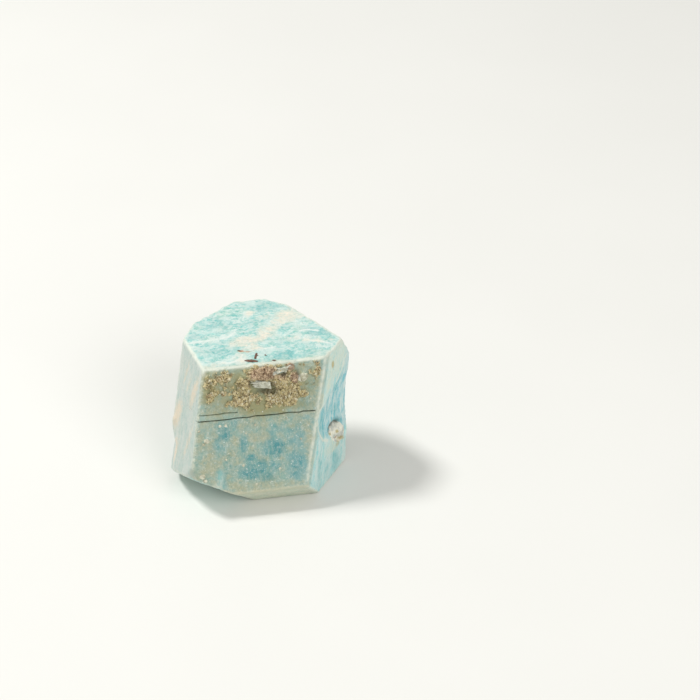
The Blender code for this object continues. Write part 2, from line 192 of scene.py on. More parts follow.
TOP_TEAL = (
    (4.9, -4.3, 2.9, 1.3, 0.9, 5), (-7.6, -1.0, 3.6, 1.8, 0.6), (12.0, 2.3, 2.8, 1.7, 0.7, -8),
    (3.6, 13.0, 3.8, 1.6, 0.6), (-6.4, 8.0, 3.6, 2.0, 0.6), (-12.0, 4.8, 1.6, 1.4, 0.6),
    (9.2, -4.6, 2.2, 1.0, 0.6), (5.4, 0.4, 1.8, 1.1, 0.5, 30), (1.0, 7.6, 2.4, 1.4, 0.5, 20),
)
TOP_RUST = (
    (-3.3, -1.75, 0.75, 0.3, 1.0, -14), (-2.0, -2.1, 0.8, 0.22, 0.8, -10), (2.5, -5.9, 0.9, 0.25, 0.6),
)
# White lines of the top, as points
TOP_LINES = (
    ((-13.2, 2.7), (-11.4, 2.95), (-9.4, 2.9), (-7.2, 3.3), (-5.2, 3.6), (-3.6, 4.9)),
    ((-8.4, -4.2), (-6.0, -5.3), (-3.8, -4.7), (-3.2, -3.0)),
    ((9.6, 0.6), (10.6, -0.4), (12.2, -0.9), (14.6, -2.2)),
    ((9.2, 3.0), (10.9, 3.3), (12.6, 2.6)), ((0.6, -1.2), (1.8, -1.6), (3.4, -1.3)),
)
RIGHT_CREAM = (
    (3.2, 24.2, 3.0, 2.2, 1.0, -35), (0.3, 21.8, 1.6, 1.8, 0.9, -30), (-3.0, 19.9, 1.6, 1.3, 0.8, -30),
    (-0.3, 7.2, 2.6, 1.4, 0.8, -20), (5.6, 25.6, 2.0, 1.8, 0.8), (8.0, 27.0, 2.6, 1.4, 0.9),
    (1.6, 27.2, 2.2, 1.2, 0.8), (4.8, 27.4, 2.2, 1.2, 1.0),
)
RIGHT_TEAL = (
    (-3.3, 14.2, 1.7, 3.8, 1.0, -12), (0.2, 16.6, 2.6, 3.0, 0.9), (3.4, 18.0, 2.6, 3.0, 0.8),
    (-1.0, 24.6, 0.8, 3.6, 0.4, -8), (0.8, 3.6, 1.8, 3.4, 0.9), (-5.8, 5.0, 1.0, 3.8, 0.8, -8),
    (6.0, 21.0, 1.2, 2.6, 0.8), (-3.0, 3.4, 1.4, 3.0, 0.6), (4.0, 13.4, 1.6, 1.6, 0.8),
    (8.2, 22.4, 0.9, 2.4, 1.0), (7.0, 20.4, 0.8, 2.0, 1.0), (4.8, 19.4, 0.8, 1.6, 0.8),
)
LEFT_PEACH = (
    (-2.0, 15.2, 1.8, 3.4, 1.0), (-3.0, 22.6, 0.7, 2.8, 0.7), (-0.6, 24.2, 0.6, 3.6, 0.7),
    (-5.0, 8.4, 1.4, 3.4, 1.0), (-6.0, 23.0, 1.2, 4.2, 0.9), (-9.4, 14.0, 0.8, 5.0, 0.7),
)
# The fracture hollow's rim, worn pale and partly painted highlight, and the crevice over its lump, as points
HOLLOW_RIM = (
    (8.99, 24.54), (6.21, 22.01), (2.47, 19.58), (-0.58, 18.61), (-4.1, 18.2), (-5.3, 16.6),
    (-5.1, 14.0), (-3.5, 10.7), (-1.6, 9.4),
)
# The crevice's dark colour is painted shade
CREVICE_LINE = ((-0.15, 10.5), (0.1, 11.0), (1.5, 11.2), (2.9, 10.85), (4.3, 10.0))
# Marks of the lump: painted shade in the pocket above it, yellow stains, and a rusty speck
POCKET_SHADE_MARKS = ((4.1, 10.4, 1.7, 0.7, 1.0, -34), (2.9, 11.2, 0.9, 0.5, 0.8, -34))
YELLOW_MARKS = (
    (2.55, 8.9, 0.5, 0.36, 1.0, -30), (0.3, 9.6, 0.8, 0.3, 0.8, -30), (5.1, 7.3, 0.35, 0.35, 0.7),
    (4.0, 6.4, 1.4, 0.5, 0.7, -30), (2.3, 6.2, 1.3, 0.7, 0.6), (2.42, 25.2, 0.5, 0.8, 1.0),
)
RIGHT_RUST = ((2.3, 7.6, 0.3, 0.3, 1.0), (2.3, 24.75, 0.16, 0.22, 0.8))
WHITE_MARKS = (
    (-0.4, 24.75, 2.1, 0.9, 1.0, -8), (3.8, 27.0, 1.8, 0.6, 1.0, 14), (7.9, 25.2, 1.1, 1.1, 1.0),
    (-11.9, 15.4, 0.8, 0.8, 1.0),
)
# Painted shadow under the blades
SHADE_MARKS = (
    (0.6, 23.5, 2.0, 0.55, 1.0, -4), (4.15, 26.2, 0.6, 0.4, 1.0), (1.9, 24.6, 0.4, 0.7, 0.8),
    (6.9, 26.0, 0.4, 0.9, 0.6), (-2.2, 25.4, 0.5, 0.7, 0.5),
)

SEED = 5


# Meshes and pieces


def triples(items, name):
    """Three numbers of every item, such as the place of each vertex."""
    flat = np.zeros(len(items) * 3)
    items.foreach_get(name, flat)
    return flat.reshape(-1, 3)


def drawing_points(mesh):
    """The vertices of a mesh, in millimetres of the drawing."""
    return triples(mesh.vertices, "co") / MM + MIDDLE


def put_points(mesh, points):
    """Moves the vertices of a mesh to these places of the drawing."""
    mesh.vertices.foreach_set("co", ((points - MIDDLE) * MM).ravel())
    mesh.update()


def put_value(mesh, name, values):
    """Stores one number per vertex under this name, for the materials."""
    made = mesh.attributes.new(name, "FLOAT", "POINT")
    made.data.foreach_set("value", np.clip(values, 0.0, 1.0).astype(np.float32))


def object_of(name, data):
    """A new object of the scene."""
    made = bpy.data.objects.new(name, data)
    bpy.context.scene.collection.objects.link(made)
    return made


def piece_of(name, mesh, material):
    """A finished piece of the stone, which moves with the part."""
    made = object_of(name, mesh)
    made.data.materials.clear()
    made.data.materials.append(material)
    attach(made, BODY)
    return made


def plain_mesh(source, name):
    """The object with its modifiers, as a mesh. The object itself is removed."""
    graph = bpy.context.evaluated_depsgraph_get()
    mesh = bpy.data.meshes.new_from_object(source.evaluated_get(graph))
    mesh.name = name
    bpy.data.objects.remove(source, do_unlink=True)
    return mesh


def mesh_from(name, shape):
    """A mesh of the drawing, moved to the part's frame."""
    bmesh.ops.recalc_face_normals(shape, faces=shape.faces)
    mesh = bpy.data.meshes.new(name)
    for vertex in shape.verts:
        vertex.co = (vertex.co - Vector(MIDDLE)) * MM
    shape.to_mesh(mesh)
    shape.free()
    return mesh


# Fine mesh of the stone


def close_crack(points, side, path, coordinate):
    """Brings the bottom of a crack back to its side, so that the fine mesh can take a finer one."""
    reach, height = np.array(path).T
    place = points[:, coordinate]
    near = np.interp(place, reach, height)
    depth = side.depth(points)
    inside = (depth > CRACK_FLOOR[0]) & (depth < CRACK_FLOOR[1]) & (np.abs(points[:, 2] - near) < CRACK_NEAR)
    inside &= (place > reach[0] - CRACK_PAST) & (place < reach[-1] + CRACK_PAST)
    points[inside] += side.normal * depth[inside, None]


def outer_sides(mesh):
    """The crystal's main flat sides, as normals and distances from the drawing's origin."""
    flat = bmesh.new()
    flat.from_mesh(mesh)
    bmesh.ops.dissolve_limit(flat, angle_limit=math.radians(0.6), verts=flat.verts, edges=flat.edges)
    wide = [face for face in flat.faces if face.calc_area() > SIDE_AREA * MM * MM]
    found = [(np.array(face.normal), np.array(face.verts[0].co) / MM + MIDDLE) for face in wide]
    flat.free()
    return [(normal, normal @ corner) for normal, corner in found]


def hull_sides(sides, points):
    """Those sides that nearly all of the stone lies behind, each of them once."""
    kept = []
    for normal, reach in sorted(sides, key=lambda side: -side[1]):
        alone = all(normal @ other < SIDE_SAME for other, _ in kept)
        if alone and np.mean(points @ normal > reach + SIDE_PROUD) < SIDE_SHARE:
            kept.append((normal, reach))
    return kept


def edge_distance(sides, points):
    """Distance of each point to the nearest edge between two sides, and to its own side."""
    normals = np.array([normal for normal, _ in sides])
    depths = np.array([reach - points @ normal for normal, reach in sides])
    own = np.argmin(depths, axis=0)
    turn = np.sqrt(np.maximum(1.0 - (normals @ normals.T) ** 2, 0.01))
    away = np.maximum(depths, 0.0) / turn[own].T
    away[own, np.arange(len(points))] = np.inf
    return away.min(axis=0), depths.min(axis=0)


def fine_mesh():
    """The CAD node's shape as an even, fine mesh, and its main flat sides."""
    copy = bmesh.new()
    copy.from_mesh(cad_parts[NODE].data)
    bmesh.ops.remove_doubles(copy, verts=copy.verts, dist=1e-6)
    mesh = bpy.data.meshes.new("fine stone")
    copy.to_mesh(mesh)
    copy.free()
    points = drawing_points(mesh)
    close_crack(points, FRONT, MAIN_CRACK, 0)
    close_crack(points, FRONT, SHORT_CRACK, 0)
    close_crack(points, LEFT, LEFT_CRACK, 1)
    put_points(mesh, points)
    sides = outer_sides(mesh)
    rough = object_of("fine stone", mesh)
    remesh = rough.modifiers.new("even", "REMESH")
    remesh.mode = "VOXEL"
    remesh.voxel_size = VOXEL * MM
    smooth = rough.modifiers.new("worn", "SMOOTH")
    smooth.factor = 0.5
    smooth.iterations = SMOOTH_STEPS
    return plain_mesh(rough, "fine stone"), sides


def face_centres(mesh):
    """The middles of a mesh's faces, in millimetres of the drawing."""
    return triples(mesh.polygons, "center") / MM + MIDDLE


def refine(mesh, near, cuts):
    """Splits the chosen faces, for finer detail there."""
    shape = bmesh.new()
    shape.from_mesh(mesh)
    shape.faces.ensure_lookup_table()
    edges = {edge for index in np.flatnonzero(near) for edge in shape.faces[index].edges}
    bmesh.ops.subdivide_edges(shape, edges=list(edges), cuts=cuts, use_grid_fill=True)
    shape.to_mesh(mesh)
    shape.free()


def in_ellipse(across, up, middle, half, tilt):
    """Places in a tilted ellipse, as shares of its half sizes."""
    turn = math.radians(tilt)
    dx, dy = across - middle[0], up - middle[1]
    a = (dx * math.cos(turn) + dy * math.sin(turn)) / half[0]
    b = (dy * math.cos(turn) - dx * math.sin(turn)) / half[1]
    return a, b


def blots(across, up, marks):
    """How much these soft ellipses cover each point."""
    cover = np.zeros(len(across))
    for x, y, half_x, half_y, strength, *tilt in marks:
        a, b = in_ellipse(across, up, (x, y), (half_x, half_y), sum(tilt))
        cover = np.maximum(cover, strength * np.exp(-0.7 * (a * a + b * b) ** 1.5))
    return cover


def rise(values, low, high):
    """0 below low, 1 above high, smooth between."""
    share = np.clip((values - low) / (high - low), 0.0, 1.0)
    return share * share * (3 - 2 * share)


def roughness_of(points, size, octaves=3):
    """Smooth noise, mostly between -1 and 1, with lumps of about this size."""
    return np.array([noise.fractal(Vector(point) / size, 0.7, 2.0, octaves) for point in points])


def cells(points, size):
    """Distance to the nearest of many scattered spots, which lie about this size apart."""
    return np.array([noise.voronoi(Vector(point) / size)[0][0] for point in points])


def ridge(across, up, points, width):
    """1 on a line of points, falling off to 0 at about this width from it."""
    place = np.column_stack((across, up))
    nearest = np.full(len(place), 1e9)
    for start, end in zip(np.array(points), np.array(points)[1:]):
        step = end - start
        share = np.clip(((place - start) @ step) / (step @ step), 0.0, 1.0)
        nearest = np.minimum(nearest, np.linalg.norm(place - start - share[:, None] * step, axis=1))
    return np.exp(-((nearest / width) ** 2))


def crack_lines(points, width, short=1.0, left=1.0):
    """1 along the main cleavage crack, and these shares along the short one and the left side's."""
    x, y, z = points.T
    on_front = rise(-FRONT.depth(points), -0.9, -0.6)
    on_left = rise(-LEFT.depth(points), -0.9, -0.6)
    return np.maximum.reduce((
        ridge(x, z, MAIN_CRACK, width) * on_front, ridge(x, z, SHORT_CRACK, width) * on_front * short,
        ridge(y, z, LEFT_CRACK, width) * on_left * left,
    ))


LUMP_AT = (2.9, 8.5)
LUMP_HALF = (3.3, 1.95)
LUMP_TILT = -35.0


def lump_radius(along, up):
    """1 on the rim of the quartz lump, 0 in its middle."""
    return np.hypot(*in_ellipse(along, up, LUMP_AT, LUMP_HALF, LUMP_TILT))


def front_cover(points, marks):
    """How much soft marks of the front cover each point, leaving out the other sides."""
    return blots(points[:, 0], points[:, 2], marks) * rise(-FRONT.depth(points), -1.2, -0.6)


stone, sides = fine_mesh()
sides = hull_sides(sides, drawing_points(stone))
refine(stone, front_cover(face_centres(stone), CRUST_MARKS) > 0.2, CRUST_CUTS)
refine(stone, crack_lines(face_centres(stone), 0.35) > 0.3, CRACK_CUTS)
points = drawing_points(stone)
normals = triples(stone.vertex_normals, "vector")
x, y, z = points.T
along_right = (points - RIGHT.corner) @ np.array(RIGHT_EDGE)


def on_side(side, facing, nearness):
    """1 where the stone faces as the side does and lies near it, 0 elsewhere, by two pairs of limits."""
    return rise(normals @ side.normal, *facing) * rise(-side.depth(points), *nearness)


on_top = on_side(TOP, (0.6, 0.9), (-1.0, -0.4))
on_front = on_side(FRONT, (0.3, 0.75), (-1.6, -0.9))
on_foot = on_side(FOOT, (0.6, 0.9), (-1.2, -0.6))
on_right = on_side(RIGHT, (0.35, 0.7), (-3.6, -2.8))
on_left = rise(normals @ LEFT.normal, 0.6, 0.85)
in_hollow = rise(RIGHT.depth(points), 0.15, 0.6) * on_right

away, sunk = edge_distance(sides, points)
edge = np.exp(-((away / EDGE_WIDTH) ** 1.8)) * rise(-sunk, -0.9, -0.5)
# Stained sides wear less pale than the top
paleness = 0.68 + 0.32 * np.maximum(rise(-TOP.depth(points), -1.2, -0.5), 0.3 * on_right)
paleness *= 1.0 - 0.5 * rise(-FOOT.depth(points), -1.0, -0.4)
paleness *= 1.0 - 0.3 * on_front * rise(TOP.depth(points), 0.8, 1.6) * rise(-x, -12.0, 4.0)

white = blots(x, z, WHITE_MARKS) * on_front
crust = blots(x, z, CRUST_MARKS) * on_front * (1.0 - 0.8 * edge * rise(-x, 8.0, 10.0))
crusty = crust > 0.02
tatters = np.zeros(len(points))
tatters[crusty] = roughness_of(points[crusty], 1.3)
lumps = np.zeros(len(points))
lumps[crusty] = 1.0 - cells(points[crusty], 0.8)
crust = rise(crust + 0.4 * tatters, 0.3, 0.62) * crusty * (1.0 - 0.9 * rise(white, 0.3, 0.6))
lump_reach = lump_radius(along_right, z)
lump = rise(-lump_reach, -1.12, -0.95) * on_right
beside = on_side(RIGHT, (-0.3, 0.1), (-3.6, -2.8))
crevice = ridge(along_right, z, CREVICE_LINE, 0.3) * beside
# The hollow's pale rim: worn, and partly a painted highlight
rim = ridge(along_right, z, HOLLOW_RIM, 0.36) * on_right

waves = roughness_of(points, WAVE_SIZE)
grains = roughness_of(points, GRAIN_SIZE)
steps = roughness_of(points * STEP_STRETCH, STEP_SIZE)
chips = roughness_of(points + CHIP_OFFSET, CHIP_SIZE)
lift = WAVE_LIFT * waves + GRAIN_LIFT * grains
lift += on_top * STEP_LIFT * np.round(steps * STEP_LEVELS)
lift -= np.maximum(edge, rim) * EDGE_WEAR * rise(chips, 0.1, 0.7)
lift += crust * (CRUST_LIFT + CRUST_LUMPS * lumps + CRUST_GRAINS * grains + CRUST_CHIPS * chips)
lift += lump * LUMP_GRAINS * grains + lump * LUMP_CHIPS * chips
lift -= crevice * CREVICE_DEPTH
lift -= crack_lines(points, CRACK_HALF_MOUTH, 0.6, 0.4) * CRACK_DEPTH
put_points(stone, points + normals * lift[:, None] * rise(z, *BASE_KEPT)[:, None])


def marked(front=(), top=(), right=()):
    """Soft marks of the front, the top and the right side, each on its own side alone."""
    return np.maximum.reduce((
        blots(x, z, front) * on_front, blots(x, y, top) * on_top, blots(along_right, z, right) * on_right,
    ))


# What the finishes read, by its name
VALUES = {
    "on_front": on_front * (1.0 - 0.85 * blots(x, z, CLEAR_MARKS)),
    "on_foot": on_foot,
    "on_left": on_left,
    "on_right": on_right,
    "in_hollow": in_hollow,
    # Worn pale edges, with the hollow's rim, which is partly a painted highlight
    "edge": np.maximum(edge * paleness, 0.85 * rim),
    "crust": crust,
    "lump": lump,
    "lumps": 0.5 + 0.9 * (lumps - 0.5) + 0.35 * grains,
    "white": white * rise(-FRONT.depth(points), 0.1, 0.3),
    "shade": front_cover(points, SHADE_MARKS),
    # Painted shade in the crevice over the lump and in the cracks
    "crevice": np.maximum(crevice, crack_lines(points, CRACK_HALF_MOUTH, 0.4, 0.25)),
    "lines": np.maximum.reduce([ridge(x, y, line, 0.4) for line in TOP_LINES]) * on_top,
    # Painted shade in the pocket above the lump
    "pocket": blots(along_right, z, POCKET_SHADE_MARKS) * beside * (1.0 - 0.8 * lump),
    "deep": marked(DEEP_MARKS),
    "pink": marked(PINK_MARKS),
    "olive": marked(OLIVE_MARKS),
    "teal": marked(TEAL_MARKS, TOP_TEAL, RIGHT_TEAL),
    "cream": marked(CREAM_MARKS, TOP_CREAM, RIGHT_CREAM),
    "rust": np.maximum(marked((), TOP_RUST, RIGHT_RUST), blots(y, z, LEFT_PEACH) * on_left * 0.7),
    "frosted": marked(top=TOP_FROST),
    "yellow": marked(right=YELLOW_MARKS),
}
for name, values in VALUES.items():
    put_value(stone, name, values)


# Node trees


class Tree:
    """Adds nodes to one node tree. An input is given as a value or as another node's output."""

    def __init__(self, tree):
        self.tree = tree

    def node(self, kind, inputs=(), **settings):
        """A new node: its settings first, then its inputs."""
        made = self.tree.nodes.new(kind)
        for name, value in settings.items():
            setattr(made, name, value)
        for key, value in dict(inputs).items():
            self.feed(made.inputs[key], value)
        return made

    def feed(self, socket, value):
        """Gives a socket its value, or links it."""
        if isinstance(value, bpy.types.NodeSocket):
            self.tree.links.new(value, socket)
        else:
            socket.default_value = value

    def math(self, operation, *values):
        return self.node("ShaderNodeMath", enumerate(values), operation=operation).outputs[0]

    def times(self, first, second):
        return self.math("MULTIPLY", first, second)

    def line(self, value, slope, start):
        """The value times the slope, plus the start."""
        return self.math("MULTIPLY_ADD", value, slope, start)

    def vector(self, operation, *values, output=0):
        made = self.node("ShaderNodeVectorMath", operation=operation)
        for index, value in enumerate(values):
            self.feed(made.inputs[index], value)
        return made.outputs[output]

    def ramp(self, value, low, high, to_low=0.0, to_high=1.0):
        """A smooth step from one value to another."""
        inputs = {"Value": value, "From Min": low, "From Max": high, "To Min": to_low, "To Max": to_high}
        return self.node("ShaderNodeMapRange", inputs, interpolation_type="SMOOTHSTEP").outputs[0]

    def mix(self, share, first, second, blend="MIX"):
        inputs = {0: share, 6: first, 7: second}
        return self.node("ShaderNodeMix", inputs, data_type="RGBA", blend_type=blend).outputs[2]

    def tint(self, colour, share, strength, other):
        """The colour, mixed with another by a share of this strength."""
        return self.mix(self.times(share, strength), colour, other)

    def attribute(self, name):
        return self.node("ShaderNodeAttribute", attribute_name=name).outputs["Fac"]

    def noise(self, place, scale, detail=3.0, rough=0.55, wander=0.0):
        inputs = {"Vector": place, "Scale": scale, "Detail": detail, "Roughness": rough, "Distortion": wander}
        return self.node("ShaderNodeTexNoise", inputs).outputs["Fac"]

    def group(self, tree, place, **inputs):
        return self.node("ShaderNodeGroup", {"Place": place, **inputs}, node_tree=tree).outputs[0]


def shader_group(name, output, **inputs):
    """An empty shader group of a place and these numbers: its helper, its inputs and its output's socket."""
    tree = bpy.data.node_groups.new(name, "ShaderNodeTree")
    tree.interface.new_socket("Place", in_out="INPUT", socket_type="NodeSocketVector")
    for label, value in inputs.items():
        made = tree.interface.new_socket(label, in_out="INPUT", socket_type="NodeSocketFloat")
        made.default_value = value
    tree.interface.new_socket(output, in_out="OUTPUT", socket_type="NodeSocketFloat")
    helper = Tree(tree)
    source = helper.node("NodeGroupInput").outputs
    sink = helper.node("NodeGroupOutput").inputs[output]
    return helper, source, sink


def perthite_group():
    """Sheets of pale albite in the lattice: thin across the pole, long in the other two directions."""
    made, given, out = shader_group(
        "perthite sheets", "Veins", Width=3.0, Length=7.0, Thickness=0.8, Bend=1.0, Share=0.5, Softness=0.12,
    )
    drift = made.node("ShaderNodeTexNoise", {"Vector": given["Place"], "Scale": 0.3, "Detail": 4.0})
    shift = made.vector("SUBTRACT", drift.outputs["Color"], (0.5, 0.5, 0.5))
    scaled = made.node("ShaderNodeVectorMath", operation="SCALE")
    made.feed(scaled.inputs[0], shift)
    made.feed(scaled.inputs["Scale"], given["Bend"])
    bent = made.vector("ADD", given["Place"], scaled.outputs[0])
    place = made.node("ShaderNodeCombineXYZ")
    for axis, direction, size in (("X", ACROSS, "Width"), ("Y", AXIS, "Length"), ("Z", POLE, "Thickness")):
        reach = made.vector("DOT_PRODUCT", bent, tuple(direction), output="Value")
        made.feed(place.inputs[axis], made.math("DIVIDE", reach, given[size]))
    value = made.noise(place.outputs[0], 1.0, 5.0, 0.6)
    low = made.math("SUBTRACT", made.math("SUBTRACT", 1.0, given["Share"]), given["Softness"])
    high = made.math("ADD", low, made.times(given["Softness"], 2.0))
    made.feed(out, made.ramp(value, low, high))
    return made.tree


def lace_group():
    """Hair-thin pale lines that branch and cross."""
    made, given, out = shader_group("lace", "Lines", Size=2.0, Line=0.05)
    value = made.noise(given["Place"], made.math("DIVIDE", 1.0, given["Size"]), 3.0, 0.6, 0.8)
    gap = made.math("ABSOLUTE", made.math("SUBTRACT", value, 0.5))
    thin = made.ramp(gap, 0.0, given["Line"], 1.0, 0.0)
    broken = made.noise(given["Place"], made.math("DIVIDE", 1.5, given["Size"]), 2.0)
    made.feed(out, made.times(thin, made.ramp(broken, 0.42, 0.6)))
    return made.tree


def ragged_group():
    """A soft mark, given a torn edge."""
    made, given, out = shader_group("ragged mark", "Mark", Amount=0.0, Size=1.5, Tear=0.6, Softness=0.2)
    value = made.noise(given["Place"], made.math("DIVIDE", 1.0, given["Size"]), 5.0, 0.62)
    torn = made.line(made.math("SUBTRACT", value, 0.5), given["Tear"], given["Amount"])
    low = made.math("SUBTRACT", 0.5, given["Softness"])
    high = made.math("ADD", 0.5, given["Softness"])
    full = made.ramp(torn, low, high)
    made.feed(out, made.times(full, made.ramp(given["Amount"], 0.02, 0.2)))
    return made.tree


def grain_group():
    """Height of a fine, uneven grain, for a bump."""
    made, given, out = shader_group("stone grain", "Height", Size=0.4)
    scale = made.math("DIVIDE", 1.0, given["Size"])
    fine = made.noise(given["Place"], scale, 6.0, 0.65)
    cells = made.node("ShaderNodeTexVoronoi", {"Vector": given["Place"], "Scale": scale}, feature="F1")
    made.feed(out, made.line(cells.outputs["Distance"], -0.35, fine))
    return made.tree


def speck_group():
    """Small scattered specks."""
    made, given, out = shader_group("specks", "Specks", Spacing=1.0, Share=0.2, Size=0.2)
    scale = made.math("DIVIDE", 1.0, given["Spacing"])
    cells = made.node("ShaderNodeTexVoronoi", {"Vector": given["Place"], "Scale": scale}, feature="F1")
    chosen = made.node("ShaderNodeSeparateColor", {"Color": cells.outputs["Color"]}).outputs[0]
    chosen = made.math("LESS_THAN", chosen, given["Share"])
    half = made.times(given["Size"], 0.6)
    dot = made.ramp(cells.outputs["Distance"], half, given["Size"], 1.0, 0.0)
    made.feed(out, made.times(dot, chosen))
    return made.tree


PERTHITE = perthite_group()
RAGGED = ragged_group()
LACE = lace_group()
GRAIN = grain_group()
SPECKS = speck_group()


def linear(red, green, blue):
    """A screen colour, 0 to 255, as the linear colour that a shader takes."""
    channels = [channel / 255 for channel in (red, green, blue)]
    return (*(c / 12.92 if c < 0.04045 else ((c + 0.055) / 1.055) ** 2.4 for c in channels), 1.0)


def new_material(name):
    """A material, its tree's helper, its shader and the object's own place in millimetres."""
    made = bpy.data.materials.new(name)
    made.use_nodes = True
    tree = Tree(made.node_tree)
    shader = made.node_tree.nodes["Principled BSDF"]
    spot = tree.node("ShaderNodeTexCoord").outputs["Object"]
    place = tree.vector("MULTIPLY", spot, (1 / MM, 1 / MM, 1 / MM))
    return made, tree, shader, place


def finish(tree, shader, colour, rough, height, strength, distance):
    """Joins colour, roughness and a bump to a shader. The bump's distance is in millimetres."""
    bumped = tree.node("ShaderNodeBump", {"Height": height, "Strength": strength, "Distance": distance * MM})
    for name, value in (("Base Color", colour), ("Roughness", rough), ("Normal", bumped.outputs[0])):
        tree.feed(shader.inputs[name], value)


# Finishes, as screen colours
TURQUOISE = linear(112, 188, 182)
LIGHT_TURQUOISE = linear(150, 204, 198)
GREEN_TURQUOISE = linear(146, 196, 176)
DEEP_TURQUOISE = linear(88, 172, 172)
ALBITE = linear(226, 232, 225)
CREAM = linear(232, 222, 204)
LEFT_GREY = linear(194, 192, 184)
GREEN_CREAM = linear(210, 221, 204)
FRONT_CREAM = linear(206, 208, 178)
# Painted light of the right side
RIGHT_SIDE_PAINTED_LIGHT = linear(172, 228, 234)
HOLLOW_BLUE = linear(72, 182, 198)
# Painted shade of the pocket above the lump
POCKET_SHADE = linear(96, 156, 162)
FRONT_GREY = linear(144, 160, 144)
FRONT_BEIGE = linear(168, 170, 140)
FRONT_PALE = linear(190, 196, 178)
DARK_TEAL = linear(44, 138, 146)
FRONT_DEEP = linear(100, 138, 132)
FRONT_TEAL = linear(46, 130, 142)
OLIVE = linear(152, 146, 98)
OCHRE = linear(204, 190, 146)
KHAKI = linear(194, 180, 132)
RUSSET = linear(182, 156, 114)
UMBER = linear(98, 86, 56)
# Painted shadow under the blades
SHADE = linear(70, 66, 46)
PINK = linear(204, 180, 148)
PINK_SHADE = linear(130, 104, 80)
BUFF = linear(208, 202, 174)
PEACH = linear(226, 206, 178)
# Worn edges, and the hollow's rim as partly painted highlight
WORN_EDGE_AND_HIGHLIGHT = linear(221, 226, 212)
LUMP_WHITE = linear(188, 192, 184)
LUMP_CREAM = linear(234, 232, 216)
QUARTZ = linear(184, 188, 176)
YELLOW = linear(178, 162, 100)
RUST = linear(178, 112, 60)
# Painted shade of the crevice and the cracks
CREVICE_SHADE = linear(70, 66, 48)


# The stone's finish


